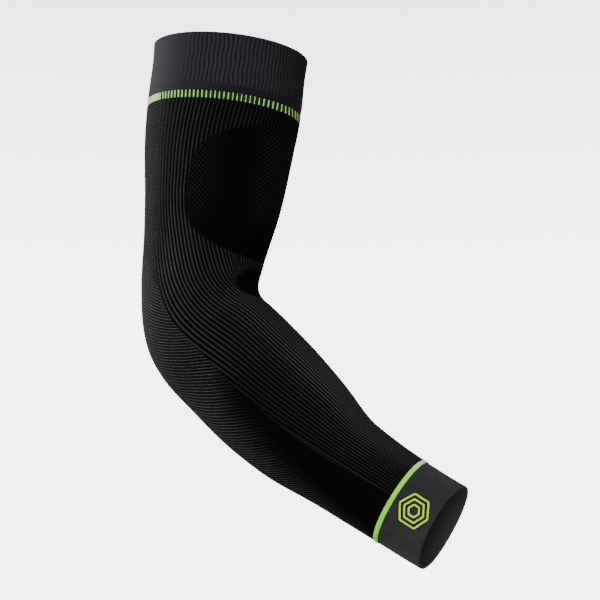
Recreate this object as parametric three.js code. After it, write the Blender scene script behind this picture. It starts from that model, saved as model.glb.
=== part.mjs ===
// A knitted compression sleeve for one arm, in the shape that it has when worn with the elbow bent.
// Millimetres, +Z up. The origin is the middle of the elbow, on the sleeve's centre line. The upper
// arm rises along +Z, leaning a little to +X, and the forearm runs down and forward to +X. The elbow
// bends in the XZ plane, and the sleeve is alike on both sides of that plane, apart from its emblem.
//
// The sleeve is one seamless knit tube between two accent stripes. Above it is a double-knit upper
// band, and below it a smooth wrist cuff that carries a small raised emblem.

import * as THREE from "three";

// Centre line: lengths are measured along it, from the middle of the elbow.
const UPPER_REACH = 189;
const FORE_REACH = 231;
const BEND_LENGTH = 90;
const ELBOW_TURN_DEG = 50;
const UPPER_LEAN_DEG = 7.5;
const FORE_SWEEP_DEG = 18;

// Outside girths. Depth lies in the plane that the elbow bends in, and breadth across it.
const GIRTHS = {
  upper: { depth: 110, breadth: 100 },
  elbow: { depth: 86, breadth: 88 },
  forearm: { depth: 90, breadth: 84 },
  wrist: { depth: 62, breadth: 50 },
};

// Heights of the pieces along the centre line, and the thickness of each knit.
const BAND_HEIGHT = 41;
const BAND_WALL = 2;
const TOP_STRIPE_HEIGHT = 5;
const TOP_STRIPE_WALL = 1.4;
const KNIT_WALL = 1.2;
const WRIST_STRIPE_HEIGHT = 3.2;
const WRIST_STRIPE_WALL = 1.4;
const CUFF_HEIGHT = 31;
const CUFF_WALL = 1.5;
const SEAM_GAP = 0.3;

// The emblem: nested six-sided outlines, raised on the outer side of the cuff.
const EMBLEM_RADIUS = 12;
const EMBLEM_STEP = 3.6;
const EMBLEM_LINE = 1.3;
const EMBLEM_RELIEF = 0.5;
const EMBLEM_SIDES = 6;
const EMBLEM_TURN_DEG = -86;

// How finely the faceted surfaces are cut.
const SIDES = 44;
const KNIT_ROWS_OUTSIDE = 38;
const KNIT_ROWS_INSIDE = 30;
const BAND_ROWS = 7;
const CUFF_ROWS = 5;
const LIP_STEPS = 3;
const PATH_STEP = 1;

// Cross sections. along is a share of the limb's reach. inner, outer and breadth are shares of the
// named girth: inner and outer of its depth, on the crook's and the elbow tip's side of the centre
// line, and breadth of its breadth.
const SECTIONS = [
  { limb: "upper", along: 1.0, girth: "upper", inner: 0.505, outer: 0.51, breadth: 1.02 },
  { limb: "upper", along: 0.92, girth: "upper", inner: 0.5, outer: 0.5, breadth: 1.0 },
  { limb: "upper", along: 0.78, girth: "upper", inner: 0.505, outer: 0.5, breadth: 1.0 },
  { limb: "upper", along: 0.6, girth: "upper", inner: 0.485, outer: 0.48, breadth: 0.97 },
  { limb: "upper", along: 0.4, girth: "upper", inner: 0.45, outer: 0.43, breadth: 0.91 },
  { limb: "upper", along: 0.2, girth: "elbow", inner: 0.485, outer: 0.505, breadth: 0.97 },
  { limb: "upper", along: 0.08, girth: "elbow", inner: 0.445, outer: 0.505, breadth: 0.99 },
  { limb: "fore", along: 0.04, girth: "elbow", inner: 0.465, outer: 0.56, breadth: 1.01 },
  { limb: "fore", along: 0.1, girth: "elbow", inner: 0.49, outer: 0.56, breadth: 1.02 },
  { limb: "fore", along: 0.2, girth: "forearm", inner: 0.49, outer: 0.515, breadth: 1.03 },
  { limb: "fore", along: 0.35, girth: "forearm", inner: 0.49, outer: 0.5, breadth: 1.0 },
  { limb: "fore", along: 0.5, girth: "forearm", inner: 0.445, outer: 0.46, breadth: 0.9 },
  { limb: "fore", along: 0.63, girth: "wrist", inner: 0.54, outer: 0.575, breadth: 1.25 },
  { limb: "fore", along: 0.72, girth: "wrist", inner: 0.52, outer: 0.535, breadth: 1.1 },
  { limb: "fore", along: 0.85, girth: "wrist", inner: 0.51, outer: 0.505, breadth: 0.94 },
  { limb: "fore", along: 1.0, girth: "wrist", inner: 0.5, outer: 0.5, breadth: 1.0 },
];

const COLOURS = {
  knit: 0x0b0b0c,
  band: 0x2c2b2e,
  stripe: 0x8fd15a,
  emblem: 0xa6cf2a,
};

const rad = THREE.MathUtils.degToRad;

// Heading of the centre line at a distance along it, in radians from straight down towards +X.
function headingAt(distance) {
  const throughBend = THREE.MathUtils.smoothstep(distance, -BEND_LENGTH / 2, BEND_LENGTH / 2);
  const straightLength = FORE_REACH - BEND_LENGTH / 2;
  const downForearm = THREE.MathUtils.clamp((distance - BEND_LENGTH / 2) / straightLength, 0, 1);
  return rad(-UPPER_LEAN_DEG + ELBOW_TURN_DEG * throughBend + FORE_SWEEP_DEG * downForearm);
}

// Walks the heading from the elbow's middle to a distance along the centre line.
function centreAt(distance) {
  const steps = Math.max(1, Math.ceil(Math.abs(distance) / PATH_STEP));
  const step = distance / steps;
  const point = new THREE.Vector3();
  for (let i = 0; i < steps; i++) {
    const heading = headingAt((i + 0.5) * step);
    point.x += Math.sin(heading) * step;
    point.z -= Math.cos(heading) * step;
  }
  return point;
}

// The section table as half sizes in millimetres, in order down the arm.
const stations = SECTIONS.map((row) => {
  const girth = GIRTHS[row.girth];
  return {
    at: row.limb === "upper" ? -row.along * UPPER_REACH : row.along * FORE_REACH,
    inner: row.inner * girth.depth,
    outer: row.outer * girth.depth,
    side: (row.breadth * girth.breadth) / 2,
  };
});

// A smooth curve through one column of the stations.
function columnCurve(column) {
  const slopes = stations.map((_, i) => {
    const before = stations[Math.max(0, i - 1)];
    const after = stations[Math.min(stations.length - 1, i + 1)];
    return (after[column] - before[column]) / (after.at - before.at);
  });
  return (distance) => {
    let i = 0;
    while (i < stations.length - 2 && distance > stations[i + 1].at) i++;
    const [a, b] = [stations[i], stations[i + 1]];
    const span = b.at - a.at;
    const t = THREE.MathUtils.clamp((distance - a.at) / span, 0, 1);
    const t2 = t * t;
    const t3 = t2 * t;
    return (
      (2 * t3 - 3 * t2 + 1) * a[column] +
      (t3 - 2 * t2 + t) * span * slopes[i] +
      (3 * t2 - 2 * t3) * b[column] +
      (t3 - t2) * span * slopes[i + 1]
    );
  };
}

const innerAt = columnCurve("inner");
const outerAt = columnCurve("outer");
const sideAt = columnCurve("side");

// A ring of the sleeve's outside at one distance. angle 0 faces the crook and half a turn the elbow
// tip. raised moves the surface out, and a negative value moves it into the wall.
function sectionAt(distance) {
  const centre = centreAt(distance);
  const heading = headingAt(distance);
  const crookwards = new THREE.Vector3(Math.cos(heading), 0, Math.sin(heading));
  const [inner, outer, side] = [innerAt(distance), outerAt(distance), sideAt(distance)];
  return (angle, raised) => {
    const depth = Math.cos(angle) > 0 ? inner : outer;
    return centre
      .clone()
      .addScaledVector(crookwards, Math.cos(angle) * (depth + raised))
      .add(new THREE.Vector3(0, Math.sin(angle) * (side + raised), 0));
  };
}

// A closed mesh from rings of points, each ring closed, and the last ring joined to the first.
function closedLoft(rings) {
  const around = rings[0].length;
  const positions = rings.flatMap((ring) => ring.flatMap((p) => [p.x, p.y, p.z]));
  const index = [];
  rings.forEach((_, r) => {
    const next = (r + 1) % rings.length;
    for (let k = 0; k < around; k++) {
      const turn = (k + 1) % around;
      const [a, b] = [r * around + k, r * around + turn];
      const [c, d] = [next * around + k, next * around + turn];
      index.push(a, c, b, b, c, d);
    }
  });
  const geometry = new THREE.BufferGeometry();
  geometry.setAttribute("position", new THREE.Float32BufferAttribute(positions, 3));
  geometry.setIndex(index);
  geometry.computeVertexNormals();
  return geometry;
}

// Distances from one end of a piece to the other, both ends included.
function spread(from, to, rows) {
  return Array.from({ length: rows + 1 }, (_, i) => from + ((to - from) * i) / rows);
}

// The wall of one piece: its outside from top to bottom, its inside back up, and a round edge at an
// end that is open.
function wallProfile({ top, bottom, wall, rowsOutside, rowsInside, roundTop, roundBottom }) {
  const lip = wall / 2;
  const from = roundTop ? top + lip : top;
  const to = roundBottom ? bottom - lip : bottom;
  const profile = spread(from, to, rowsOutside).map((at) => ({ at, raised: 0 }));
  if (roundBottom) profile.push(...lipPoints(to, lip, 1));
  profile.push(...spread(to, from, rowsInside).map((at) => ({ at, raised: -wall })));
  if (roundTop) profile.push(...lipPoints(from, lip, -1).reverse());
  return profile;
}

// The points of a half-round edge between the outside and the inside of a wall.
function lipPoints(at, lip, way) {
  return Array.from({ length: LIP_STEPS - 1 }, (_, i) => {
    const turn = (Math.PI * (i + 1)) / LIP_STEPS;
    return { at: at + way * lip * Math.sin(turn), raised: -lip + lip * Math.cos(turn) };
  });
}

function tubePiece(name, colour, roughness, shape) {
  const rings = wallProfile(shape).map(({ at, raised }) => {
    const section = sectionAt(at);
    return Array.from({ length: SIDES }, (_, k) => section((2 * Math.PI * k) / SIDES, raised));
  });
  return namedMesh(name, closedLoft(rings), colour, roughness);
}

function namedMesh(name, geometry, colour, roughness) {
  const material = new THREE.MeshStandardMaterial({ color: colour, roughness, metalness: 0 });
  const mesh = new THREE.Mesh(geometry, material);
  mesh.name = name;
  return mesh;
}

// Where each piece ends along the centre line, from the upper edge down.
const bandTop = -UPPER_REACH;
const bandBottom = bandTop + BAND_HEIGHT;
const topStripeTop = bandBottom + SEAM_GAP;
const topStripeBottom = topStripeTop + TOP_STRIPE_HEIGHT;
const knitTop = topStripeBottom + SEAM_GAP;
const cuffBottom = FORE_REACH;
const cuffTop = cuffBottom - CUFF_HEIGHT;
const wristStripeBottom = cuffTop - SEAM_GAP;
const wristStripeTop = wristStripeBottom - WRIST_STRIPE_HEIGHT;
const knitBottom = wristStripeTop - SEAM_GAP;

function upperBand() {
  return tubePiece("upper_band", COLOURS.band, 0.85, {
    top: bandTop,
    bottom: bandBottom,
    wall: BAND_WALL,
    rowsOutside: BAND_ROWS,
    rowsInside: BAND_ROWS,
    roundTop: true,
  });
}

function topStripe() {
  return tubePiece("top_stripe", COLOURS.stripe, 0.8, {
    top: topStripeTop,
    bottom: topStripeBottom,
    wall: TOP_STRIPE_WALL,
    rowsOutside: 1,
    rowsInside: 1,
  });
}

function knitSleeve() {
  return tubePiece("knit_sleeve", COLOURS.knit, 0.9, {
    top: knitTop,
    bottom: knitBottom,
    wall: KNIT_WALL,
    rowsOutside: KNIT_ROWS_OUTSIDE,
    rowsInside: KNIT_ROWS_INSIDE,
  });
}

function wristStripe() {
  return tubePiece("wrist_stripe", COLOURS.stripe, 0.8, {
    top: wristStripeTop,
    bottom: wristStripeBottom,
    wall: WRIST_STRIPE_WALL,
    rowsOutside: 1,
    rowsInside: 1,
  });
}

function wristCuff() {
  return tubePiece("wrist_cuff", COLOURS.band, 0.8, {
    top: cuffTop,
    bottom: cuffBottom,
    wall: CUFF_WALL,
    rowsOutside: CUFF_ROWS,
    rowsInside: CUFF_ROWS,
    roundBottom: true,
  });
}

// One outline of the emblem. It follows the cuff's curve, a seam gap clear of it.
function emblemOutline(name, radius) {
  const middle = (cuffTop + cuffBottom) / 2;
  const turn = rad(EMBLEM_TURN_DEG);
  const section = sectionAt(middle);
  const small = 0.01;
  const perTurn = section(turn + small, 0).distanceTo(section(turn - small, 0)) / (2 * small);
  const cutsPerSide = 3;
  const cuts = EMBLEM_SIDES * cutsPerSide;

  const corner = (i, r) => {
    const angle = (2 * Math.PI * i) / EMBLEM_SIDES;
    return [r * Math.cos(angle), r * Math.sin(angle)];
  };
  const onOutline = (cut, r) => {
    const side = Math.floor(cut / cutsPerSide);
    const share = (cut % cutsPerSide) / cutsPerSide;
    const [a, b] = [corner(side, r), corner(side + 1, r)];
    return [a[0] + (b[0] - a[0]) * share, a[1] + (b[1] - a[1]) * share];
  };
  const onCuff = ([along, across], raised) =>
    sectionAt(middle + along)(turn + across / perTurn, raised);

  const low = SEAM_GAP;
  const high = SEAM_GAP + EMBLEM_RELIEF;
  const rings = Array.from({ length: cuts }, (_, cut) => {
    const outside = onOutline(cut, radius);
    const inside = onOutline(cut, radius - EMBLEM_LINE);
    return [
      onCuff(outside, low),
      onCuff(outside, high),
      onCuff(inside, high),
      onCuff(inside, low),
    ];
  });
  return namedMesh(name, closedLoft(rings), COLOURS.emblem, 0.5);
}

const sleeve = new THREE.Group();
sleeve.add(
  upperBand(),
  topStripe(),
  knitSleeve(),
  wristStripe(),
  wristCuff(),
  emblemOutline("emblem_outer", EMBLEM_RADIUS),
  emblemOutline("emblem_middle", EMBLEM_RADIUS - EMBLEM_STEP),
  emblemOutline("emblem_inner", EMBLEM_RADIUS - 2 * EMBLEM_STEP),
);

export default sleeve;
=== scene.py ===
"""A black ribbed knit sleeve for a bent arm: a dark grey upper band and wrist cuff, two lime stripes
and a small raised emblem. Lengths are metres. Angles round the sleeve are degrees: 0 at the crook of
the elbow, 180 at its tip, and negative on the side that faces the camera."""

import math

import bpy
import numpy as np
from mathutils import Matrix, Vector


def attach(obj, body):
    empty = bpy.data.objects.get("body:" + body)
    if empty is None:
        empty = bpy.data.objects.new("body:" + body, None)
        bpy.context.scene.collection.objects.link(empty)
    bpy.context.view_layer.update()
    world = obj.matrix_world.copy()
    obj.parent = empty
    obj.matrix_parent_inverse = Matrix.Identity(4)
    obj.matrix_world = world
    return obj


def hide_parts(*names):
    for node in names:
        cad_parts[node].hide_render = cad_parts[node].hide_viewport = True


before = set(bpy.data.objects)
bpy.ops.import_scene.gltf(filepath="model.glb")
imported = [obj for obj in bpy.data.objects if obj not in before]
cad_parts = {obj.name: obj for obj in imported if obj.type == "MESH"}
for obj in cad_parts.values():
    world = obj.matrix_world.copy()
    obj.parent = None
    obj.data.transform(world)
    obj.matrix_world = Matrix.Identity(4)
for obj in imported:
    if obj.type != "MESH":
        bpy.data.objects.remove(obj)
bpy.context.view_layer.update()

MM = 0.001
BODY = "root"


# Camera

CAMERA_AT = (0.5345, -1.2783, -0.2111)
CAMERA_TARGET = (0.0616, 0.0211, 0.0080)
LENS_MM = 120
SENSOR_MM = 36
CLIP_END = 50


def make_camera():
    data = bpy.data.cameras.new("photo_camera")
    data.lens = LENS_MM
    data.sensor_width = SENSOR_MM
    data.sensor_fit = "HORIZONTAL"
    data.clip_end = CLIP_END
    camera = bpy.data.objects.new("photo_camera", data)
    camera.location = CAMERA_AT
    way = Vector(CAMERA_TARGET) - Vector(CAMERA_AT)
    camera.rotation_euler = way.to_track_quat("-Z", "Y").to_euler()
    bpy.context.scene.collection.objects.link(camera)
    bpy.context.scene.camera = camera


# Form: the centre line and cross sections of the solids, with ends that lie more softly

UPPER_REACH = 189 * MM
FORE_REACH = 231 * MM
BEND_LENGTH = 90 * MM
ELBOW_TURN = 50
UPPER_LEAN = 7.5
FORE_SWEEP = 18

# Depth and breadth of each girth.
GIRTHS = {
    "upper": (110 * MM, 100 * MM),
    "elbow": (86 * MM, 88 * MM),
    "forearm": (90 * MM, 84 * MM),
    "wrist": (62 * MM, 50 * MM),
}

# Limb, share of its reach, girth, and the shares of its depth on the crook's side, of its depth on
# the tip's side, and of its breadth.
SECTIONS = [
    ("upper", 1.0, "upper", 0.505, 0.51, 1.02),
    ("upper", 0.92, "upper", 0.5, 0.5, 1.0),
    ("upper", 0.78, "upper", 0.505, 0.5, 1.0),
    ("upper", 0.6, "upper", 0.485, 0.48, 0.97),
    ("upper", 0.4, "upper", 0.45, 0.43, 0.91),
    ("upper", 0.2, "elbow", 0.485, 0.505, 0.97),
    ("upper", 0.08, "elbow", 0.445, 0.505, 0.99),
    ("fore", 0.04, "elbow", 0.465, 0.56, 1.01),
    ("fore", 0.1, "elbow", 0.49, 0.56, 1.02),
    ("fore", 0.2, "forearm", 0.49, 0.515, 1.03),
    ("fore", 0.35, "forearm", 0.49, 0.5, 1.0),
    ("fore", 0.5, "forearm", 0.445, 0.46, 0.9),
    ("fore", 0.63, "wrist", 0.54, 0.575, 1.25),
    ("fore", 0.72, "wrist", 0.52, 0.535, 1.1),
    ("fore", 0.85, "wrist", 0.51, 0.505, 0.94),
    ("fore", 1.0, "wrist", 0.5, 0.5, 1.0),
]

# Where each piece starts and ends along the centre line.
BAND = (-189 * MM, -148 * MM)
TOP_STRIPE = (-147.7 * MM, -142.7 * MM)
KNIT = (-142.4 * MM, 196.2 * MM)
WRIST_STRIPE = (196.5 * MM, 199.7 * MM)
CUFF = (200 * MM, 231 * MM)
BAND_WALL = 2.0 * MM
STRIPE_WALL = 1.4 * MM
KNIT_WALL = 1.2 * MM
CUFF_WALL = 1.5 * MM

# How far the soft cuff would open out on each side, half its length past its free edge.
CUFF_FLARE = 5 * MM

# The cuff's edge lies a little past the solid's: by this much all round, tilted, and in two waves.
EDGE_REACH = 0.9 * MM
EDGE_TILT = 0.2 * MM
EDGE_WAVE = 0.5 * MM

# The top edge slopes a little: half its drop, the angle where it is highest, and where the slope has
# faded out down the arm.
TOP_SLOPE = 2.6 * MM
TOP_HIGHEST = -67
SLOPE_FROM = -80 * MM

# The centre line is walked between these distances, in steps of this length.
LINE_ENDS = (-200 * MM, 240 * MM)
LINE_STEP = 0.25 * MM


def smooth(value, low, high):
    """A soft step from 0 at low to 1 at high."""
    t = np.clip((value - low) / (high - low), 0.0, 1.0)
    return t * t * (3.0 - 2.0 * t)


def heading(distance):
    """Heading of the centre line in radians, from straight down towards +X."""
    past_bend = (distance - BEND_LENGTH / 2) / (FORE_REACH - BEND_LENGTH / 2)
    turned = ELBOW_TURN * smooth(distance, -BEND_LENGTH / 2, BEND_LENGTH / 2)
    return np.radians(-UPPER_LEAN + turned + FORE_SWEEP * np.clip(past_bend, 0, 1))


def walked_line():
    """The centre line as fine steps: distance, x and z, with the elbow's middle at the origin."""
    way = np.arange(*LINE_ENDS, LINE_STEP)
    middle = heading(way[:-1] + LINE_STEP / 2)
    x = np.concatenate([[0], np.cumsum(np.sin(middle) * LINE_STEP)])
    z = np.concatenate([[0], np.cumsum(-np.cos(middle) * LINE_STEP)])
    return way, x - np.interp(0, way, x), z - np.interp(0, way, z)


LINE_WAY, LINE_X, LINE_Z = walked_line()


def section_columns():
    """The section table as half sizes: distance, crook side, tip side and breadth."""
    rows = []
    for limb, share, girth, inner, outer, breadth in SECTIONS:
        depth, width = GIRTHS[girth]
        at = -share * UPPER_REACH if limb == "upper" else share * FORE_REACH
        rows.append((at, inner * depth, outer * depth, breadth * width / 2))
    return np.array(rows).T


STATION_AT, *STATION_SIZES = section_columns()


def station_curve(sizes, distance):
    """A smooth curve through one column of the section table."""
    last = len(STATION_AT) - 1
    before = np.maximum(np.arange(last + 1) - 1, 0)
    after = np.minimum(np.arange(last + 1) + 1, last)
    slopes = (sizes[after] - sizes[before]) / (STATION_AT[after] - STATION_AT[before])
    i = np.clip(np.searchsorted(STATION_AT, distance) - 1, 0, last - 1)
    span = STATION_AT[i + 1] - STATION_AT[i]
    t = np.clip((distance - STATION_AT[i]) / span, 0, 1)
    from_start = sizes[i] * (2 * t**3 - 3 * t**2 + 1) + span * slopes[i] * (t**3 - 2 * t**2 + t)
    return from_start + sizes[i + 1] * (3 * t**2 - 2 * t**3) + span * slopes[i + 1] * (t**3 - t**2)


def worn_distance(angle, distance):
    """Distance of each place as the soft ends lie: the top slopes, and the cuff's edge waves a little."""
    slope = TOP_SLOPE * (1 - np.cos(angle - math.radians(TOP_HIGHEST)))
    slope = slope * (1 - smooth(distance, TOP_STRIPE[1], SLOPE_FROM))
    edge = EDGE_REACH - EDGE_TILT * np.sin(angle) + EDGE_WAVE * np.cos(2 * angle)
    return distance + slope + edge * smooth(distance, *CUFF)


def surface(angle, distance, raised=0.0):
    """Points of the sleeve's outside, moved out by raised. angle is in degrees."""
    angle, distance, raised = np.broadcast_arrays(np.radians(angle), distance, raised)
    distance = worn_distance(angle, distance)
    inner, outer, side = (station_curve(sizes, distance) for sizes in STATION_SIZES)
    side = side + CUFF_FLARE * smooth(distance, CUFF[0], CUFF[1] + (CUFF[1] - CUFF[0]) / 2)
    turn = heading(distance)
    reach = np.cos(angle) * (np.where(np.cos(angle) > 0, inner, outer) + raised)
    return np.stack(
        [
            np.interp(distance, LINE_WAY, LINE_X) + np.cos(turn) * reach,
            np.sin(angle) * (side + raised),
            np.interp(distance, LINE_WAY, LINE_Z) + np.sin(turn) * reach,
        ],
        axis=-1,
    )


# Pattern of the knit: where the ribs run and where each kind of stitch lies

# Half way round the sleeve from the crook to the tip, in half degrees.
HALF_ROUND = np.linspace(0, 180, 361)

# Degrees from rib to rib on the upper arm.
RIB_PITCH = 3.2

# Where a rib at this angle on the upper arm comes to lie on the forearm. Those that reach the
# crook's middle line end there.
RIB_ON_UPPER_ARM = (0, 50, 66, 91, 109, 135.5, 180)
RIB_ON_FOREARM = (-63, 4.5, 17, 46.5, 68, 99, 180)
DRIFT_FROM = -82 * MM

# Where along the sleeve a rib has finished drifting, in millimetres, by its angle on the upper arm.
DRIFT_UNTIL = ((59, 180), (25, 115.75))

# How far the ribs climb along the forearm and lean at the top, in degrees towards the crook's side.
FORE_CLIMB = 16.5
CLIMB_FROM, CLIMB_UNTIL = 37 * MM, 199 * MM
TOP_LEAN = 3.6
LEAN_FROM, LEAN_UNTIL = -98 * MM, -142 * MM

# Angles on the upper arm over which the climb and the lean fade out.
CLIMB_FADES = (140, 180)
LEAN_FADES = (100, 125)


def drifted(upper_angle, distance):
    """Angle at this distance of the rib that has this angle on the upper arm."""
    on_forearm = np.interp(upper_angle, RIB_ON_UPPER_ARM, RIB_ON_FOREARM)
    until = np.interp(upper_angle, *DRIFT_UNTIL) * MM
    drift = (on_forearm - upper_angle) * smooth(distance, DRIFT_FROM, until)
    climb = FORE_CLIMB * smooth(distance, CLIMB_FROM, CLIMB_UNTIL)
    lean = TOP_LEAN * np.clip((distance - LEAN_FROM) / (LEAN_UNTIL - LEAN_FROM), 0, 1) ** 2
    climb = climb * (1 - smooth(upper_angle, *CLIMB_FADES))
    lean = lean * (1 - smooth(upper_angle, *LEAN_FADES))
    return upper_angle + drift - climb - lean


def rib_number(around, distances):
    """Which rib lies at each angle from the crook, for every distance. Ribs count from the tip side."""
    rows = [np.interp(around, drifted(HALF_ROUND, distance), HALF_ROUND) for distance in distances]
    return (180 - np.array(rows)) / RIB_PITCH


# Front edge of the elbow pocket's mesh, as millimetres along the sleeve and angle, and how soft it is.
# Then the same for where the mesh rows have half faded, and how much of them is left past that.
POCKET_EDGE = [
    (-50, 190), (-38, 150), (-27, 125), (-12, 111), (0, 107), (16, 100.5), (36, 97.5), (61, 96.5),
    (84, 95), (110, 94), (135, 93), (150, 91.5), (169, 88), (196, 85),
]
POCKET_SOFT = 1.0
ROWS_EDGE = [(40, 80), (77, 113), (104, 120), (131, 128), (154, 138), (196, 156)]
ROWS_FADE = 20
ROWS_LEFT = 0.05

# The beaded line along the pocket's edge: its half width in degrees, and where it comes in and goes out.
SEAM_WIDTH = 0.7
SEAM_STARTS = (80 * MM, 105 * MM)
SEAM_ENDS = (165 * MM, 190 * MM)

# Angles over which the ribs turn into the net.
NET_EDGE = (98, 124)

# The ribs lie flatter in the net, by this share, and towards the crook, where this share is left.
NET_FLATTER = 0.8
CROOK_RELIEF = 0.45
CROOK_FADES = (15, 50)

# The smooth oval on the biceps. Its ends have their own lengths and powers of a superellipse.
OVAL_MIDDLE = -74 * MM
OVAL_HALF_ANGLE = 90
OVAL_ABOVE = (55 * MM, 3.1)
OVAL_BELOW = (36 * MM, 2.5)
OVAL_AXIS = 50
OVAL_SOFT = (0.97, 1.03)

# The oval's two sets of dotted lines on either side of its axis: degrees and millimetres for each line.
OVAL_LINES = {"tip side": ((4.0, 3.0), (3.0, -3.9)), "crook side": ((-4.4, 3.4), (2.7, 4.2))}

# How strong the dots are near each border and the angles where they start and are full. Then the
# distances where all of them end.
OVAL_DOTS = [(0.7, 56, 86), (0.75, 48, 24)]
OVAL_DOTS_END = (-75 * MM, -48 * MM)

# The smooth patch in the crook.
PATCH_MIDDLE = -10 * MM
PATCH_HALF_ANGLE = 31
PATCH_HALF_LENGTH = 21 * MM
PATCH_SOFT = (0.85, 1.12)

# Height of a course of stitches and its climb for each degree, in courses. Degrees between the mesh's
# holes, and how far they shift from row to row, in holes.
COURSE = 1.85 * MM
COURSE_CLIMB = 0.042
HOLE_PITCH = 2.0
HOLE_SHIFT = 0.75

# Height of a mesh row, and how many rows they climb for each degree, both by distance in millimetres,
# and the angle that the climb is counted from.
ROW_HEIGHT = [(0, 1.8), (25, 2.15), (50, 3.0), (90, 2.85), (150, 2.3)]
ROW_CLIMB = [(-20, 0.20), (25, 0.25), (60, 0.235), (150, 0.228)]
ROW_ANGLE = 100
ROW_STEPS = 400

# Fewest ribs for each degree, and the range of their spacing, that the ribs' depth goes by.
FEWEST_RIBS = 0.05
SPACING_RANGE = (0.5 * MM, 4 * MM)

# Painted light and shade on the ribs along the sleeve, by distance, on three lines that run down it. Above
# 1 is painted light and below 1 painted shade.
PAINTED_LIGHT_LINES = {
    "crook": (30, [(-120, 0.28), (-25, 0.88), (50, 0.98), (110, 1.3), (196, 0.95)]),
    "flank": (62, [(-140, 0.46), (-25, 0.86), (10, 0.86), (80, 0.56), (160, 0.68), (196, 0.48)]),
    "back": (98, [(-140, 0.78), (-60, 1.02), (-25, 1.35), (12, 0.92), (45, 0.82), (80, 0.43), (196, 0.4)]),
}


def edge_angle(edge, distance):
    """Angle of one of the pattern's edges at each distance."""
    at, angle = np.array(edge, float).T
    return np.interp(distance, at * MM, angle)


def oval_share(around, distance):
    """1 inside the smooth oval on the biceps, and 0 outside it."""
    above = distance < OVAL_MIDDLE
    length = np.where(above, OVAL_ABOVE[0], OVAL_BELOW[0])
    power = np.where(above, OVAL_ABOVE[1], OVAL_BELOW[1])
    off = np.abs(distance - OVAL_MIDDLE) / length
    reach = ((around / OVAL_HALF_ANGLE) ** power + off**power) ** (1 / power)
    return 1 - smooth(reach, *OVAL_SOFT)


def patch_share(around, distance):
    """1 inside the smooth patch in the crook, and 0 outside it."""
    off = (distance - PATCH_MIDDLE) / PATCH_HALF_LENGTH
    return 1 - smooth(np.hypot(around / PATCH_HALF_ANGLE, off), *PATCH_SOFT)


def seam_share(off, distance):
    """How strongly the pocket's beaded line shows, off being the degrees from the pocket's edge."""
    shown = smooth(distance, *SEAM_STARTS) * (1 - smooth(distance, *SEAM_ENDS))
    return np.exp(-((off / SEAM_WIDTH) ** 2)) * shown


def row_number(around, distance):
    """Which row of the pocket's mesh lies at each place. The rows climb towards the crook."""
    at, height = np.array(ROW_HEIGHT, float).T
    fine = np.linspace(*KNIT, ROW_STEPS)
    counted = np.cumsum((fine[1] - fine[0]) / (np.interp(fine, at * MM, height) * MM))
    climb_at, climb = np.array(ROW_CLIMB, float).T
    per_degree = np.interp(distance, climb_at * MM, climb)
    return np.interp(distance, fine, counted) + per_degree * (around - ROW_ANGLE)


def painted_light_along(around, distance):
    """Painted light and shade on the ribs at each place."""
    lines = []
    for angle, points in PAINTED_LIGHT_LINES.values():
        at, light = np.array(points).T
        lines.append((angle, np.interp(distance, at * MM, light)))
    (last_angle, painted_light), *others = lines
    for angle, light in others:
        painted_light = painted_light + smooth(around, last_angle, angle) * (light - painted_light)
        last_angle = angle
    return painted_light


def oval_dots(around, distance):
    """How strongly the oval's dots show: near its borders on both sides, and not in its middle."""
    shown = [strength * smooth(around, start, full) for strength, start, full in OVAL_DOTS]
    return np.maximum(*shown) * (1 - smooth(distance, *OVAL_DOTS_END))


def oval_line(around, distance, which):
    """Counts one set of the oval's dotted lines."""
    counts = []
    for lines in OVAL_LINES.values():
        degrees, millimetres = lines[which]
        counts.append((around - OVAL_AXIS) / degrees + distance / (millimetres * MM))
    return np.where(around > OVAL_AXIS, *counts)


def wave_crest(count):
    """A wave from 0 to 1 and back for each whole turn of a count."""
    return 0.5 - 0.5 * np.cos(2 * np.pi * count)


def from_crook(angles):
    """Angles as degrees away from the crook, 0 to 180 on both sides."""
    return np.abs((angles + 180) % 360 - 180)


def rib_spacing(wale, degrees, distance):
    """Length from rib to rib, from the rib numbers of places that lie this many degrees apart."""
    ribs = np.maximum(np.abs(np.gradient(wale, axis=1)) / degrees, FEWEST_RIBS)
    half = np.hypot(station_curve(STATION_SIZES[0], distance), station_curve(STATION_SIZES[2], distance))
    return np.clip(np.radians(1 / ribs) * half / math.sqrt(2), *SPACING_RANGE)


def knit_fields(angles, distances):
    """What the knit is like at each distance and angle: counts of its stitches, shares of 0 to 1, and the
    ribs' painted light and shade.
    """
    around = from_crook(angles)
    wale = rib_number(around, distances)
    around, distance = np.meshgrid(around, distances)
    oval = oval_share(around, distance)
    patch = patch_share(around, distance)
    edge = edge_angle(POCKET_EDGE, distance)
    pocket = smooth(around - edge, -POCKET_SOFT, POCKET_SOFT)
    shown = smooth(around - edge_angle(ROWS_EDGE, distance), -ROWS_FADE, ROWS_FADE)
    rows = pocket * (ROWS_LEFT + (1 - ROWS_LEFT) * shown)
    net = smooth(around, *NET_EDGE) * (1 - pocket)
    ribs = (1 - oval) * (1 - patch) * (1 - pocket)
    calm = CROOK_RELIEF + (1 - CROOK_RELIEF) * smooth(around, *CROOK_FADES)
    row = row_number(around, distance)
    return {
        "wale": wale,
        "course": distance / COURSE + COURSE_CLIMB * around,
        "row": row,
        "hole": around / HOLE_PITCH - HOLE_SHIFT * row,
        "crest": wave_crest(wale),
        "ribs": ribs,
        "relief": ribs * (1 - NET_FLATTER * net) * calm,
        "net": net,
        "rows": rows,
        "seam": seam_share(around - edge, distance),
        "dots": oval * oval_dots(around, distance),
        "dot_line": oval_line(around, distance, 0),
        "dot_cross": oval_line(around, distance, 1),
        # The ribs' painted light and shade along the sleeve.
        "painted_light": painted_light_along(around, distance),
        "spacing": rib_spacing(wale, angles[1] - angles[0], distance),
    }


# Mesh building

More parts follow.
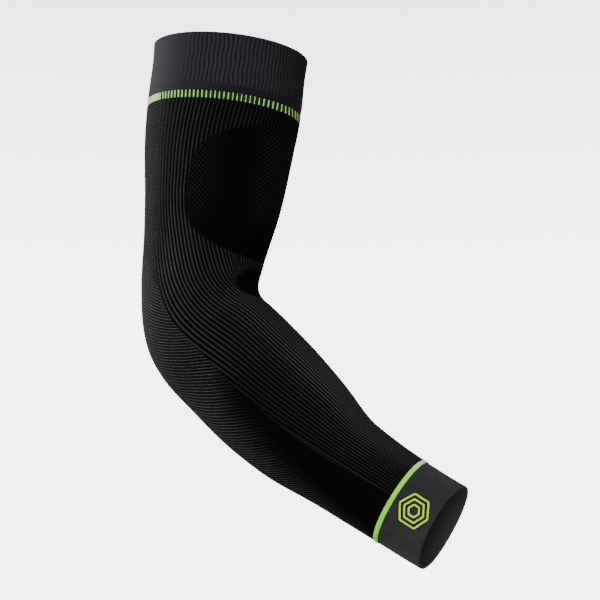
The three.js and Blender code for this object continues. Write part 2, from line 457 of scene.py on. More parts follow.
# Columns of faces round the sleeve, on the outside and on the lining.
RIBBED_COLUMNS = (720, 72)
SMOOTH_COLUMNS = (360, 72)
CUFF_COLUMNS = (360, 120)

# Rows of faces along each piece, on the outside and on the lining.
KNIT_ROWS = (133, 24)
BAND_ROWS = (58, 10)
CUFF_ROWS = (40, 20)
STRIPE_ROWS = (9, 3)

# Degrees that a free edge's rounding turns through, from the lining to the outside, its rows of faces, and
# the shares of the wall, measured from the outside, between which it comes to look like the lining.
LIP_TURN = (170, 15)
LIP_ROWS = 6
LIP_LINING = (0.5, 0.95)

# Where each stretch of a tube lies on its map: outside, lining and the strips that join them.
MAP_OUTSIDE = (0.0, 0.84)
MAP_LINING = (0.86, 0.96)
MAP_STRIPS = ((0.97, 0.982), (0.985, 0.997))


def grid_faces(start, rows, columns, outward):
    """Quads between rings of vertices, each ring closed. The face side is outward or inward."""
    row, col = np.meshgrid(np.arange(rows - 1), np.arange(columns), indexing="ij")
    here = start + row * columns + col
    right = start + row * columns + (col + 1) % columns
    below, across = here + columns, right + columns
    corners = [here, below, across, right] if outward else [here, right, across, below]
    return np.stack(corners, axis=-1).reshape(-1, 4)


def joining_faces(fine, fine_columns, coarse, coarse_columns, flipped):
    """Triangles between a fine ring and a coarse ring, given by their first vertices."""
    per = fine_columns // coarse_columns
    k = np.arange(fine_columns)
    nearest = coarse + ((k + per // 2) // per) % coarse_columns
    fans = np.stack([fine + k, fine + (k + 1) % fine_columns, nearest], axis=-1)
    j = np.arange(coarse_columns)
    middle = fine + (j * per + per - per // 2) % fine_columns
    caps = np.stack([middle, coarse + (j + 1) % coarse_columns, coarse + j], axis=-1)
    faces = np.concatenate([fans, caps])
    return faces[:, ::-1] if flipped else faces


def new_piece(name, points, quads, triangles, fields, rings):
    """A smooth shaded mesh object. Edges that lie in one of the rings are sharp."""
    mesh = bpy.data.meshes.new(name)
    loops = np.concatenate([quads.ravel(), triangles.ravel()]).astype(np.int32)
    starts = np.concatenate(
        [np.arange(len(quads)) * 4, len(quads) * 4 + np.arange(len(triangles)) * 3]
    ).astype(np.int32)
    mesh.vertices.add(len(points))
    mesh.vertices.foreach_set("co", points.astype(np.float32).ravel())
    mesh.loops.add(len(loops))
    mesh.loops.foreach_set("vertex_index", loops)
    mesh.polygons.add(len(starts))
    mesh.polygons.foreach_set("loop_start", starts)
    mesh.update(calc_edges=True)
    mesh.polygons.foreach_set("use_smooth", np.ones(len(starts), bool))
    for key, values in fields.items():
        layer = mesh.attributes.new(key, "FLOAT", "POINT")
        layer.data.foreach_set("value", values.astype(np.float32).ravel())
    if rings is not None:
        ends = np.empty(len(mesh.edges) * 2, np.int32)
        mesh.edges.foreach_get("vertices", ends)
        ring = rings[ends.reshape(-1, 2)]
        sharp = mesh.attributes.new("sharp_edge", "BOOLEAN", "EDGE")
        sharp.data.foreach_set("value", (ring[:, 0] > 0) & (ring[:, 0] == ring[:, 1]))
    piece = bpy.data.objects.new(name, mesh)
    bpy.context.scene.collection.objects.link(piece)
    return piece


def wall_profile(start, end, wall, rows, round_start, round_end):
    """Distance and rise of each outer row of a wall, with half-round edges at its free ends."""
    lip = wall / 2
    first = start + lip if round_start else start
    last = end - lip if round_end else end
    turn = np.radians(np.linspace(*LIP_TURN, LIP_ROWS))
    at = [np.linspace(first, last, rows)]
    rise = [np.zeros(rows)]
    if round_start:
        at.insert(0, first - lip * np.sin(turn))
        rise.insert(0, -lip + lip * np.cos(turn))
    if round_end:
        at.append(last + lip * np.sin(turn[::-1]))
        rise.append(-lip + lip * np.cos(turn[::-1]))
    return np.concatenate(at), np.concatenate(rise), first, last


def tube(name, start, end, wall, row_counts, column_counts, fields_of, relief_of,
         round_start=False, round_end=False):
    """A closed tube wall: fine rows outside, a plain lining inside, and strips that join them."""
    rows, lining_rows = row_counts
    columns, lining = column_counts
    at, rise, first, last = wall_profile(start, end, wall, rows, round_start, round_end)
    angles = np.arange(columns) * 360 / columns
    fields = fields_of(angles, at)
    angle, distance = np.meshgrid(angles, at)
    relief = relief_of(fields) * (1 + rise / wall)[:, None]
    outside = surface(angle, distance, rise[:, None] + relief)

    lining_at = np.linspace(first, last, lining_rows)
    lining_angles = np.arange(lining) * 360 / lining
    lining_fields = fields_of(lining_angles, lining_at)
    angle, distance = np.meshgrid(lining_angles, lining_at)
    inside = surface(angle, distance, -wall)

    fine, coarse = 0, outside.shape[0] * columns
    quads = np.concatenate([
        grid_faces(fine, len(at), columns, True),
        grid_faces(coarse, lining_rows, lining, False),
    ])
    last_fine = fine + (len(at) - 1) * columns
    last_coarse = coarse + (lining_rows - 1) * lining
    triangles = np.concatenate([
        joining_faces(fine, columns, coarse, lining, False),
        joining_faces(last_fine, columns, last_coarse, lining, True),
    ])
    rings = np.zeros(coarse + lining_rows * lining, int)
    if not round_start:
        rings[fine:fine + columns] = 1
    if not round_end:
        rings[last_fine:last_fine + columns] = 2
    points = np.concatenate([outside.reshape(-1, 3), inside.reshape(-1, 3)])
    joined = {
        key: np.concatenate([fields[key].ravel(), lining_fields[key].ravel()]) for key in fields
    }
    joined["inside"] = np.concatenate([
        np.repeat(smooth(-rise / wall, *LIP_LINING), columns), np.ones(lining_rows * lining)
    ])
    piece = new_piece(name, points, quads, triangles, joined, rings)
    lay_out(piece, len(at), columns, lining_rows, lining)
    return piece


def lay_out(piece, rows, columns, lining_rows, lining):
    """The map that the surface is unwrapped on: outside, lining and the two joining strips."""
    def patch(count_rows, count_columns, low, high):
        row, col = np.meshgrid(np.arange(count_rows - 1), np.arange(count_columns), indexing="ij")
        u0, u1 = col / count_columns, (col + 1) / count_columns
        v0 = low + (high - low) * row / (count_rows - 1)
        v1 = low + (high - low) * (row + 1) / (count_rows - 1)
        return u0, u1, v0, v1

    u0, u1, v0, v1 = patch(rows, columns, *MAP_OUTSIDE)
    outside = np.stack([u0, v0, u0, v1, u1, v1, u1, v0], axis=-1).reshape(-1)
    u0, u1, v0, v1 = patch(lining_rows, lining, *MAP_LINING)
    inside = np.stack([u0, v0, u1, v0, u1, v1, u0, v1], axis=-1).reshape(-1)
    per = columns // lining
    k, j = np.arange(columns), np.arange(lining)
    strips = []
    near = ((k + per // 2) // per) / lining
    for (low, high), flipped in zip(MAP_STRIPS, (False, True)):
        zeros, ones = np.full(columns, low), np.full(columns, high)
        fans = [k / columns, zeros, (k + 1) / columns, zeros, near, ones]
        middle = (j * per + per - per // 2) / columns
        caps = [middle, zeros[:lining], (j + 1) / lining, ones[:lining], j / lining, ones[:lining]]
        for corners in (fans, caps):
            block = np.stack(corners, axis=-1).reshape(-1, 3, 2)
            strips.append((block[:, ::-1] if flipped else block).reshape(-1))
    layer = piece.data.uv_layers.new(name="OFBake")
    layer.data.foreach_set("uv", np.concatenate([outside, inside, *strips]).astype(np.float32))


# Materials

SHEEN_ROUGHNESS = 0.5


class Shader:
    """A material and short calls that add nodes to it."""

    def __init__(self, name):
        self.material = bpy.data.materials.new(name)
        self.material.use_nodes = True
        self.tree = self.material.node_tree
        self.surface = self.tree.nodes["Principled BSDF"]

    def put(self, socket, value):
        """Gives a socket a constant, or another node's output."""
        if isinstance(value, bpy.types.NodeSocket):
            self.tree.links.new(value, socket)
        else:
            socket.default_value = value

    def attribute(self, name):
        """One of the piece's fields, as its mesh keeps it."""
        node = self.tree.nodes.new("ShaderNodeAttribute")
        node.attribute_name = name
        return node.outputs["Fac"]

    def calc(self, operation, *values):
        node = self.tree.nodes.new("ShaderNodeMath")
        node.operation = operation
        for socket, value in zip(node.inputs, values):
            self.put(socket, value)
        return node.outputs[0]

    def wave(self, value, cycles=1.0):
        """Cosine of a value that counts whole turns."""
        return self.calc("COSINE", self.calc("MULTIPLY", value, 2 * math.pi * cycles))

    def step(self, value, low, high, first=0.0, last=1.0):
        """A soft step from first, where the value is low, to last, where it is high."""
        node = self.tree.nodes.new("ShaderNodeMapRange")
        node.interpolation_type = "SMOOTHSTEP"
        for key, item in zip(("Value", "From Min", "From Max", "To Min", "To Max"),
                             (value, low, high, first, last)):
            self.put(node.inputs[key], item)
        return node.outputs["Result"]

    def blend(self, share, first, second):
        """first where share is 0 and second where it is 1."""
        return self.calc("MULTIPLY_ADD", share, self.calc("SUBTRACT", second, first), first)

    def noise(self, scale, detail=2.0):
        """Unevenness that stays fixed to the piece."""
        place = self.tree.nodes.new("ShaderNodeTexCoord")
        node = self.tree.nodes.new("ShaderNodeTexNoise")
        node.inputs["Scale"].default_value = scale
        node.inputs["Detail"].default_value = detail
        self.tree.links.new(place.outputs["Object"], node.inputs["Vector"])
        return node.outputs["Fac"]

    def colour(self, share, *stops):
        """A colour between stops, each a share and its colour."""
        node = self.tree.nodes.new("ShaderNodeValToRGB")
        ramp = node.color_ramp
        for i, (at, value) in enumerate(stops):
            stop = ramp.elements[i] if i < 2 else ramp.elements.new(at)
            stop.position = at
            stop.color = (*value, 1)
        self.put(node.inputs["Fac"], share)
        return node.outputs["Color"]

    def mix(self, share, first, second):
        """The first colour where share is 0 and the second where it is 1."""
        node = self.tree.nodes.new("ShaderNodeMix")
        node.data_type = "RGBA"
        self.put(node.inputs["Factor"], share)
        self.put(node.inputs["A"], first)
        self.put(node.inputs["B"], second)
        return node.outputs["Result"]

    def bump(self, height, depth):
        """Fine relief, depth being what a height of 1 stands for."""
        node = self.tree.nodes.new("ShaderNodeBump")
        node.inputs["Strength"].default_value = 1.0
        node.inputs["Distance"].default_value = depth
        self.put(node.inputs["Height"], height)
        self.tree.links.new(node.outputs["Normal"], self.surface.inputs["Normal"])

    def finish(self, colour, roughness, specular, sheen=0.0):
        """Sets what the surface is like, and gives the material."""
        self.put(self.surface.inputs["Base Color"], colour)
        self.surface.inputs["Roughness"].default_value = roughness
        self.surface.inputs["Specular IOR Level"].default_value = specular
        self.surface.inputs["Sheen Weight"].default_value = sheen
        self.surface.inputs["Sheen Roughness"].default_value = SHEEN_ROUGHNESS
        return self.material


# The light at which a yarn is brightest, and how deep the knit's stitches are.
FULL_LIGHT = 2
STITCH_DEPTH = 0.3 * MM
KNIT_DARK = (0.0006, 0.0006, 0.0007)
KNIT_MIDDLE = (0.0095, 0.0094, 0.0100)
KNIT_LIGHT = (0.0430, 0.0427, 0.0480)
KNIT_BRIGHT = (0.1350, 0.1340, 0.1480)


def knit_material():
    """Each kind of stitch is worked out as a light from dark gap to bright yarn, and then coloured. The
    ribs get a painted highlight on their crests and painted shade in their valleys.
    """
    s = Shader("knit_black")
    net, rows, course = s.attribute("net"), s.attribute("rows"), s.attribute("course")
    crest = s.attribute("crest")

    # The ribs, and the net that they turn into, whose light stitches are staggered from course to course.
    # Painted highlight on the rib crests and painted shade in their valleys, also on the net's strands,
    # times the painted light and shade along the sleeve.
    rib_light = s.calc("MULTIPLY", s.step(crest, 0.22, 0.95), s.attribute("painted_light"))
    staggered = s.calc("MULTIPLY", s.wave(s.attribute("wale"), 0.5), s.wave(course))
    net_light = s.calc("MULTIPLY", s.step(staggered, -0.7, -0.08, 1.95, 0.0), s.step(crest, 0, 1, 0.5, 1))
    tube_light = s.calc("MULTIPLY", s.blend(net, rib_light, net_light), s.attribute("ribs"))

    # The pocket's mesh: light rows, and fainter links between the dark holes that part them.
    row_gap = s.step(s.wave(s.attribute("row")), -1.0, -0.55)
    holes = s.step(s.wave(s.attribute("hole")), -1.0, -0.1, 0.68, 1.0)
    row_light = s.calc("MULTIPLY_ADD", s.calc("MULTIPLY", row_gap, holes), -1.6, 1.6)
    row_light = s.calc("MULTIPLY", row_light, rows)

    # The dotted lines in the oval, and the beads along the pocket's edge.
    line = s.step(s.wave(s.attribute("dot_line")), -0.2, 0.9)
    cross = s.step(s.wave(s.attribute("dot_cross")), -0.4, 0.8, 0.1, 1.1)
    dot_light = s.calc("MULTIPLY", s.calc("MULTIPLY", line, cross), s.attribute("dots"))
    beads = s.step(s.wave(course, 0.7), -0.8, 0.6, 0.25, 0.9)
    seam_light = s.calc("MULTIPLY", s.calc("MULTIPLY", s.attribute("seam"), beads), 0.75)

    # All of these together, a little uneven, with the relief that goes with them.
    trim_light = s.calc("MAXIMUM", dot_light, seam_light)
    light = s.calc("MAXIMUM", s.calc("ADD", tube_light, row_light), trim_light)
    light = s.calc("MULTIPLY", light, s.step(s.noise(900), 0.2, 0.8, 0.8, 1.2))
    stitch = s.calc("MULTIPLY", s.wave(course, 2.0), 0.06)
    share = s.calc("MULTIPLY", light, 1 / FULL_LIGHT)
    s.bump(s.calc("ADD", share, stitch), STITCH_DEPTH)
    colour = s.colour(share, (0, KNIT_DARK), (0.25, KNIT_MIDDLE), (0.71, KNIT_LIGHT), (1, KNIT_BRIGHT))
    return s.finish(colour, roughness=0.8, specular=0.04)


# How deep the loops of the band and the stripes are.
LOOP_DEPTH = 0.12 * MM
BAND_DARK = (0.0035, 0.0034, 0.0040)
BAND_LIGHT = (0.0238, 0.0226, 0.0285)


def band_material():
    """Grey double knit, with painted shade between its ribs and painted shade by angle."""
    s = Shader("band_grey")
    loops = s.calc("MULTIPLY", s.wave(s.attribute("wale"), 3), s.wave(s.attribute("course"), 2))
    # Painted shade between the ribs, times the painted shade by angle.
    light = s.calc("MULTIPLY", s.step(s.attribute("crest"), 0.0, 0.9, 0.1, 1.12), s.attribute("shade"))
    light = s.calc("MULTIPLY", light, s.step(s.noise(500, 3), 0.25, 0.75, 0.86, 1.1))
    s.bump(s.calc("MULTIPLY", loops, 0.5), LOOP_DEPTH)
    colour = s.colour(light, (0, BAND_DARK), (1, BAND_LIGHT))
    return s.finish(colour, roughness=0.85, specular=0.1, sheen=0.03)


# How far inside the cuff the lining's painted shade is deepest, and how deep its surface's grain is.
LINING_SHADE_AT = 18 * MM
CUFF_DEPTH = 0.1 * MM
CUFF_DEEP_SHADE = (0.010, 0.0098, 0.0110)
CUFF_DARK = (0.016, 0.0157, 0.0175)
CUFF_LIGHT = (0.031, 0.0303, 0.0335)
CUFF_LINING_LIT = (0.055, 0.0540, 0.0600)


def cuff_material():
    """Smooth grey knit with painted shade along one line, whose lining has painted shade deep inside and
    painted light towards the free edge.
    """
    s = Shader("cuff_grey")
    loops = s.calc("MULTIPLY", s.wave(s.attribute("wale"), 2), s.wave(s.attribute("course"), 2.6))
    outside = s.calc("MULTIPLY", s.calc("MULTIPLY", s.noise(160, 4), 0.5), s.attribute("shade"))
    # Painted shade deep inside the lining, turning to painted light towards the cuff's free edge.
    lining = s.step(s.attribute("distance"), CUFF[1] - LINING_SHADE_AT, CUFF[1], -0.1, 0.75)
    light = s.blend(s.attribute("inside"), outside, lining)
    s.bump(s.calc("ADD", s.calc("MULTIPLY", loops, 0.4), s.noise(1400)), CUFF_DEPTH)
    colour = s.colour(light, (0, CUFF_DEEP_SHADE), (0.05, CUFF_DARK), (0.4, CUFF_LIGHT), (0.75, CUFF_LINING_LIT))
    return s.finish(colour, roughness=0.85, specular=0.1, sheen=0.03)


LIME = (0.28, 0.86, 0.03)
# A little worn lime, which the painted highlight also passes through, then the painted highlight's palest
# lime.
LIME_WORN_AND_HIGHLIGHT = (0.36, 0.92, 0.09)
LIME_HIGHLIGHT = (0.62, 0.96, 0.40)
PALE_LIME = (0.34, 0.68, 0.19)
PALE_LIME_WORN = (0.50, 0.84, 0.32)
DASH_EDGE = (0.006, 0.016, 0.003)


def stripe_surface(s, colour):
    """The fine loops and soft shine that both stripes have."""
    loops = s.calc("MULTIPLY", s.wave(s.attribute("wale"), 2), s.wave(s.attribute("course"), 2))
    s.bump(loops, LOOP_DEPTH)
    return s.finish(colour, roughness=0.8, specular=0.15)


def stripe_material():
    """Lime yarn with a painted highlight, paler where the piece says so."""
    s = Shader("stripe_lime")
    lime = s.colour(s.calc("ADD", s.calc("MULTIPLY", s.noise(240, 3), 0.5), s.attribute("painted_highlight")),
                    (0.15, LIME), (0.4, LIME_WORN_AND_HIGHLIGHT), (0.8333, LIME_HIGHLIGHT))
    return stripe_surface(s, lime)


def dashed_material():
    """Lime yarn on the crests and the solid stretch, and dark yarn between them and inside."""
    s = Shader("stripe_dashes")
    lime = s.colour(s.noise(240, 3), (0.3, PALE_LIME), (0.75, PALE_LIME_WORN))
    uneven = s.calc("MULTIPLY_ADD", s.noise(330, 1), 0.3, -0.16)
    dash = s.step(s.calc("ADD", s.attribute("crest"), uneven), 0.58, 0.76)
    outside = s.calc("SUBTRACT", 1.0, s.attribute("inside"))
    share = s.calc("MAXIMUM", s.calc("MULTIPLY", dash, outside), s.attribute("solid"))
    return stripe_surface(s, s.mix(share, (*DASH_EDGE, 1), lime))


EMBLEM_LIME = (0.42, 0.84, 0.02)
EMBLEM_PALE = (0.50, 0.90, 0.06)
EMBLEM_BORDER = (0.0015, 0.0030, 0.0010)
EMBLEM_GRAIN = 0.05 * MM


def emblem_material():
    """Lime print with a dark border."""
    s = Shader("emblem_lime")
    across = s.attribute("across")
    lime = s.colour(s.noise(400), (0.3, EMBLEM_LIME), (0.8, EMBLEM_PALE))
    colour = s.mix(s.step(across, 0.54, 0.66), lime, (*EMBLEM_BORDER, 1))
    s.bump(s.noise(2500), EMBLEM_GRAIN)
    return s.finish(colour, roughness=0.55, specular=0.2)


# Pieces of the sleeve

KNIT_PIECES = ["knit_upper_arm", "knit_elbow", "knit_forearm", "knit_wrist"]

# The ribs' depth, at most and as a share of their spacing. They are a little fuller than plain waves, and
# their valleys lie under the plain wall by a share of the depth.
RIB_DEPTH = 0.9 * MM
RIB_SHARE = 0.34
RIB_FULLNESS = 0.8
VALLEY_SHARE = 0.4
ROW_RELIEF = 0.14 * MM
DOT_RELIEF = 0.08 * MM


def knit_relief(fields):
    """How far the ribs, mesh rows and dotted lines stand out of the plain wall."""
    depth = np.minimum(RIB_DEPTH, RIB_SHARE * fields["spacing"])
    ribs = fields["relief"] * (fields["crest"] ** RIB_FULLNESS - VALLEY_SHARE) * depth
    rows = -fields["rows"] * np.cos(2 * np.pi * fields["row"]) * ROW_RELIEF
    dots = fields["dots"] * np.cos(2 * np.pi * fields["dot_line"]) * DOT_RELIEF
    return ribs + rows + dots


def knit_pieces(material):
    ends = np.linspace(*KNIT, len(KNIT_PIECES) + 1)
    for name, start, end in zip(KNIT_PIECES, ends, ends[1:]):
        piece = tube(name, start, end, KNIT_WALL, KNIT_ROWS, RIBBED_COLUMNS, knit_fields, knit_relief)
        dress(piece, material, "knit_sleeve")
        declare_cloth(piece, start, end)


# The band's ribs swing to and fro by this share of their pitch, and not in step with each other.
SWING = 0.11
SWING_LENGTH = 2.4 * MM
SWING_SHIFTS = (0.35, 0.9)
BAND_RIB_DEPTH = 0.45 * MM

# The ribs end above a plain strip, this far from the band's lower edge, and at these angles.
STRIP_STARTS = (7.5 * MM, 4 * MM)
BAND_PLAIN = (86, 112)
PLAIN_CREST = 0.63

# Painted shade on the band by angle, on its body and on the plain strip: the lower the value, the more
# shade.
BODY_SHADE = ((0, 15, 45, 75, 100), (0.15, 0.45, 0.76, 0.9, 0.86))
STRIP_SHADE = ((45, 70, 95, 120), (0.12, 0.24, 0.56, 0.8))


def band_fields(angles, distances):
    """What the upper band is like at each distance and angle."""
    fields = knit_fields(angles, distances)
    wale = fields["wale"]
    around, distance = np.meshgrid(from_crook(angles), distances)
    strip = smooth(distance, BAND[1] - STRIP_STARTS[0], BAND[1] - STRIP_STARTS[1])
    plain = smooth(around, *BAND_PLAIN)
    swing = distance / SWING_LENGTH + SWING_SHIFTS[0] * wale + np.sin(SWING_SHIFTS[1] * wale)
    ribs = (1 - strip) * (1 - plain)
    crest = wave_crest(wale + SWING * np.sin(swing))
    # Painted shade by angle, on the band's body and on its plain strip.
    body_shade = np.interp(around, *BODY_SHADE)
    strip_shade = np.interp(around, *STRIP_SHADE)
    return {
        "wale": wale,
        "course": fields["course"],
        "crest": crest * ribs + PLAIN_CREST * np.maximum(plain, strip),
        "shade": body_shade + strip * (strip_shade - body_shade),
        "ribs": ribs,
    }


def band_relief(fields):
    return fields["ribs"] * (fields["crest"] - VALLEY_SHARE) * BAND_RIB_DEPTH


def upper_band(material, stripe):
    piece = tube("arm_band", *BAND, BAND_WALL, BAND_ROWS, RIBBED_COLUMNS, band_fields, band_relief,
                 round_start=True)
    dress(piece, material, "upper_band")
    declare_cloth(piece, *BAND, with_pieces=[stripe])


# Degrees for each dash of the top stripe, how far its wave is raised, and how many dashes it leans by
# across the stripe, each by angle. The stripe turns solid over the angles that follow.
DASH_PITCH = ((0, 15, 36, 55), (5.6, 4.8, 4.1, RIB_PITCH))
DASH_WIDENING = ((15, 50, 80, 110), (-0.1, -0.2, -0.18, 0.06))
DASH_LEAN = ((-100, -50, -25, 0, 25, 50, 100), (-0.12, 0, 0, -0.6, -1.0, 0, 0.12))
SOLID_FROM = (123, 127)
DASH_DEPTH = 0.6 * MM


def stripe_fields(angles, distances):
    """What the top stripe is like at each distance and angle."""
    fields = knit_fields(angles, distances)
    signed = (angles + 180) % 360 - 180
    around = np.abs(signed)
    across = np.clip((distances - TOP_STRIPE[0]) / (TOP_STRIPE[1] - TOP_STRIPE[0]), 0, 1) - 0.5
    counted = np.cumsum(HALF_ROUND[1] / np.interp(HALF_ROUND, *DASH_PITCH))
    dash = np.interp(around, HALF_ROUND, counted) * np.sign(signed)
    dash = dash + across[:, None] * np.interp(signed, *DASH_LEAN)
    return {
        "wale": fields["wale"],
        "course": fields["course"],
        "crest": wave_crest(dash) + np.interp(around, *DASH_WIDENING),
        "solid": np.broadcast_to(smooth(around, *SOLID_FROM), dash.shape),
    }


def stripe_relief(fields):
    crest = np.clip(fields["crest"], 0, 1) ** RIB_FULLNESS - VALLEY_SHARE
    return crest * (1 - fields["solid"]) * DASH_DEPTH


# Painted highlight on the wrist stripe, paler near the crook's line: by how much, and the angles over
# which that fades.
PAINTED_HIGHLIGHT_BY = 0.6
PAINTED_HIGHLIGHT_FADES = (18, 55)
STRIPE_CROWN = 0.5 * MM

# Painted shade on the cuff along one line: by how much, at which angle, and how wide the line is.
DARKER_BY = 0.55
DARKER_AT = 55
DARKER_WIDTH = 22


def plain_fields(angles, distances):
    """What the wrist stripe and the cuff are like at each distance and angle."""
    fields = knit_fields(angles, distances)
    around, distance = np.meshgrid(from_crook(angles), distances)
    return {
        "wale": fields["wale"],
        "course": fields["course"],
        # Painted highlight on the wrist stripe near the crook's line.
        "painted_highlight": PAINTED_HIGHLIGHT_BY * (1 - smooth(around, *PAINTED_HIGHLIGHT_FADES)),
        # Painted shade along one line round the cuff.
        "shade": 1 - DARKER_BY * np.exp(-(((around - DARKER_AT) / DARKER_WIDTH) ** 2)),
        "distance": distance,
    }


def no_relief(fields):
    return 0 * fields["wale"]


def crowned(height, start, end):
    """A relief that swells between its two edges, as a turned stripe does."""
    def relief(fields):
        share = np.clip((fields["distance"] - start) / (end - start), 0, 1)
        return height * (1 - (2 * share - 1) ** 4)
    return relief


def arm_stripe(material):
    piece = tube("arm_stripe", *TOP_STRIPE, STRIPE_WALL, STRIPE_ROWS, RIBBED_COLUMNS, stripe_fields,
                 stripe_relief)
    dress(piece, material, "top_stripe")
    return piece


def cuff_stripe(material):
    piece = tube("cuff_stripe", *WRIST_STRIPE, STRIPE_WALL, STRIPE_ROWS, SMOOTH_COLUMNS, plain_fields,
                 crowned(STRIPE_CROWN, *WRIST_STRIPE))
    dress(piece, material, "wrist_stripe")
    return piece


def wrist_cuff(material, stripe):
    piece = tube("hand_cuff", *CUFF, CUFF_WALL, CUFF_ROWS, CUFF_COLUMNS, plain_fields, no_relief,
                 round_end=True)
    dress(piece, material, "wrist_cuff")
    declare_cloth(piece, *CUFF, with_pieces=[stripe])


# The emblem's place and its three outlines, each a bead of print on a thin dark border.
EMBLEM_AT = (CUFF[0] + CUFF[1]) / 2
EMBLEM_ANGLE = -86
EMBLEM_RADIUS = 12 * MM
EMBLEM_STEP = 3.6 * MM
EMBLEM_LINE = 1.3 * MM
EMBLEM_GAP = 0.3 * MM
EMBLEM_RELIEF = 0.6 * MM
EMBLEM_CORNER = 1.2 * MM
BEAD_HALF = 0.5 * MM
BORDER_HALF = 1.05 * MM
BORDER_HEIGHT = 0.12 * MM

# Sides of an outline, points round each of its corners, steps from each point to the next, and points
# across the bead.
EMBLEM_SIDES = 6
CORNER_POINTS = 7
POINT_STEPS = 4
BEAD_POINTS = 11


def rounded_outline(radius, corner):
    """Points and outward directions along a six-sided outline with round corners."""
    half = 180 / EMBLEM_SIDES
    points, normals = [], []
    for side in range(EMBLEM_SIDES):
        lie = math.radians(2 * half * side)
        middle = radius - corner / math.cos(math.radians(half))
        for turn in lie + np.radians(np.linspace(-half, half, CORNER_POINTS)):
            way = np.array([math.cos(turn), math.sin(turn)])
            points.append(middle * np.array([math.cos(lie), math.sin(lie)]) + corner * way)
            normals.append(way)
    points, normals = np.array(points), np.array(normals)
    shares = (np.arange(POINT_STEPS) / POINT_STEPS)[:, None, None]
    along = points + shares * (np.roll(points, -1, 0) - points)
    ways = normals + shares * (np.roll(normals, -1, 0) - normals)
    ways /= np.linalg.norm(ways, axis=-1, keepdims=True)
    return along.transpose(1, 0, 2).reshape(-1, 2), ways.transpose(1, 0, 2).reshape(-1, 2)


def emblem_outline(name, radius, material):
    """A raised half-round line with a thin dark border, laid over the cuff's curve."""
    path, ways = rounded_outline(radius - EMBLEM_LINE / 2, EMBLEM_CORNER)
    turn = np.radians(np.linspace(0, 180, BEAD_POINTS))
    offsets = np.concatenate([[BORDER_HALF, BORDER_HALF], BEAD_HALF * np.cos(turn),
                              [-BORDER_HALF, -BORDER_HALF]])
    flat = EMBLEM_GAP + BORDER_HEIGHT
    heights = np.concatenate([[EMBLEM_GAP, flat], flat + (EMBLEM_RELIEF - BORDER_HEIGHT) * np.sin(turn),
                              [flat, EMBLEM_GAP]])
    place = path[:, None, :] + ways[:, None, :] * offsets[None, :, None]
    side = station_curve(STATION_SIZES[2], EMBLEM_AT)
    depth = station_curve(STATION_SIZES[1], EMBLEM_AT)
    lie = math.radians(EMBLEM_ANGLE)
    per_degree = math.radians(1) * math.hypot(side * math.cos(lie), depth * math.sin(lie))
    points = surface(EMBLEM_ANGLE + place[..., 1] / per_degree, EMBLEM_AT + place[..., 0],
                     np.broadcast_to(heights, place.shape[:2]))
    count, ring = points.shape[:2]
    i, j = np.meshgrid(np.arange(count), np.arange(ring), indexing="ij")
    ahead, beside = (i + 1) % count, (j + 1) % ring
    quads = np.stack([i * ring + j, i * ring + beside, ahead * ring + beside, ahead * ring + j], axis=-1)
    across = np.broadcast_to(np.abs(offsets) / BORDER_HALF, (count, ring))
    piece = new_piece(name, points.reshape(-1, 3), quads.reshape(-1, 4), np.zeros((0, 3), int),
                      {"across": across}, None)
    u = np.stack([i, i, i + 1, i + 1], axis=-1) / count
    v = np.stack([j, j + 1, j + 1, j], axis=-1) / ring
    layer = piece.data.uv_layers.new(name="OFBake")
    layer.data.foreach_set("uv", np.stack([u, v], axis=-1).astype(np.float32).ravel())
    dress(piece, material, name.replace("raised", "emblem"))


def emblem(material):
    for i, name in enumerate(("raised_outer", "raised_middle", "raised_inner")):
        emblem_outline(name, EMBLEM_RADIUS - i * EMBLEM_STEP, material)


# How many girths along each piece are worked out.
MEASURED_GIRTHS = 21


def declare_cloth(piece, start, end, with_pieces=()):
    """Points round the piece at girths along its stretch; nothing further is done with them."""
    rings = surface(np.arange(361)[None, :], np.linspace(start, end, MEASURED_GIRTHS)[:, None])


def dress(piece, material, node):
    """Gives a piece its material and its place in the part."""
    piece.data.materials.append(material)
    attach(piece, BODY)
    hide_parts(node)


# Studio

FLOOR_Z = -0.42
FLOOR_RINGS = (0.4, 1.2, 2.0)
STAGE_RADIUS = 3.6
STAGE_HEIGHT = 4.0
STAGE_ROUND = 1.2
STAGE_COLUMNS = 96
STAGE_GREY = (0.25, 0.25, 0.25, 1)

# Grey of the paper's glow by its share of the way from the low to the high end, and how bright it glows.
GLOW_LOW = -0.3
GLOW_HIGH = 1.5
GLOW = [(0.0, 0.90), (0.37, 0.80), (0.45, 0.90), (0.62, 0.74), (1.0, 0.48)]
GLOW_STRENGTH = 6.5


def stage_material():
    """Pale paper that glows by itself, so that it looks alike in every view."""
    s = Shader("studio_paper")
    place = s.tree.nodes.new("ShaderNodeTexCoord")
    split = s.tree.nodes.new("ShaderNodeSeparateXYZ")
    s.tree.links.new(place.outputs["Object"], split.inputs["Vector"])
    height = s.calc("MULTIPLY_ADD", split.outputs["Z"], 1 / (GLOW_HIGH - GLOW_LOW),
                    -GLOW_LOW / (GLOW_HIGH - GLOW_LOW))
    grey = s.colour(height, *[(at, (v, v, v)) for at, v in GLOW])
    s.put(s.surface.inputs["Emission Color"], grey)
    s.surface.inputs["Emission Strength"].default_value = GLOW_STRENGTH
    return s.finish(STAGE_GREY, roughness=0.9, specular=0.1)


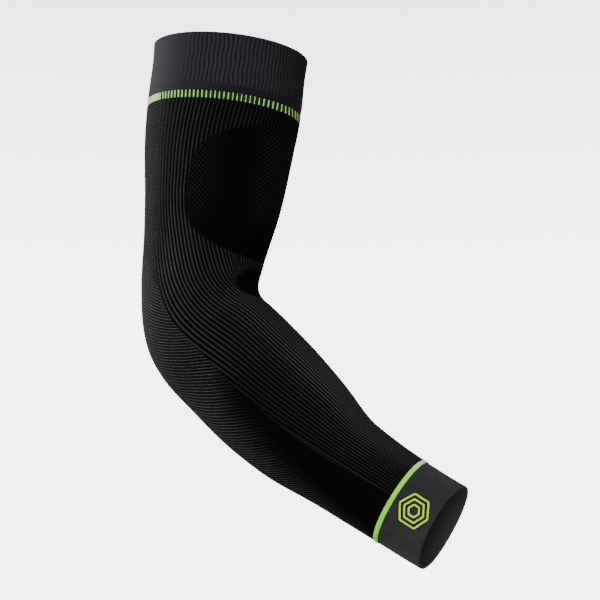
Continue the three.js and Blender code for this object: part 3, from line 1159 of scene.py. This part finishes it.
def studio_floor():
    """A round pale floor that curves up into a wall on every side."""
    turn = np.radians(np.linspace(-90, 0, 13))
    out = STAGE_RADIUS - STAGE_ROUND + STAGE_ROUND * np.cos(turn)
    out = np.concatenate([FLOOR_RINGS, out, [STAGE_RADIUS]])[:, None]
    up = STAGE_ROUND + STAGE_ROUND * np.sin(turn)
    up = np.concatenate([np.zeros(len(FLOOR_RINGS)), up, [STAGE_HEIGHT]])[:, None] + FLOOR_Z
    k = np.arange(STAGE_COLUMNS)
    around = np.radians(k * 360 / STAGE_COLUMNS)
    points = np.stack([out * np.cos(around), out * np.sin(around), up + 0 * around], axis=-1)
    points = np.concatenate([points.reshape(-1, 3), [[0, 0, FLOOR_Z]]])
    middle = np.full(STAGE_COLUMNS, len(points) - 1)
    centre = np.stack([middle, k, (k + 1) % STAGE_COLUMNS], axis=-1)
    quads = grid_faces(0, len(out), STAGE_COLUMNS, False)
    floor = new_piece("studio_floor", points, quads, centre, {}, None)
    floor.data.materials.append(stage_material())
    floor.visible_diffuse = False
    floor.visible_glossy = False
    floor.visible_shadow = False


# Each light's name, place, target, size and power.
SLEEVE_MIDDLE = (0.05, 0, 0)
LIGHTS = [
    ("key_left", (-1.8, 0.25, 0.4), SLEEVE_MIDDLE, 1.0, 56),
    ("front_soft", (-0.5, -2.0, 0.25), SLEEVE_MIDDLE, 1.4, 34),
    ("top_soft", (0.4, -0.5, 1.9), SLEEVE_MIDDLE, 1.0, 30),
    ("right_low", (1.6, -0.95, -0.95), (0.16, 0, -0.14), 0.9, 26),
]
SKY_COLOUR = (0.95, 0.97, 1.0, 1)
SKY_STRENGTH = 0.2


def area_light(name, at, target, size, power):
    data = bpy.data.lights.new(name, "AREA")
    data.shape = "DISK"
    data.size = size
    data.energy = power
    light = bpy.data.objects.new(name, data)
    light.location = at
    light.rotation_euler = (Vector(target) - Vector(at)).to_track_quat("-Z", "Y").to_euler()
    light.visible_camera = False
    bpy.context.scene.collection.objects.link(light)


def studio_lights():
    world = bpy.data.worlds.new("studio")
    world.use_nodes = True
    background = world.node_tree.nodes["Background"]
    background.inputs["Color"].default_value = SKY_COLOUR
    background.inputs["Strength"].default_value = SKY_STRENGTH
    bpy.context.scene.world = world
    for light in LIGHTS:
        area_light(*light)


make_camera()
knit_pieces(knit_material())
upper_band(band_material(), arm_stripe(dashed_material()))
wrist_cuff(cuff_material(), cuff_stripe(stripe_material()))
emblem(emblem_material())
studio_floor()
studio_lights()
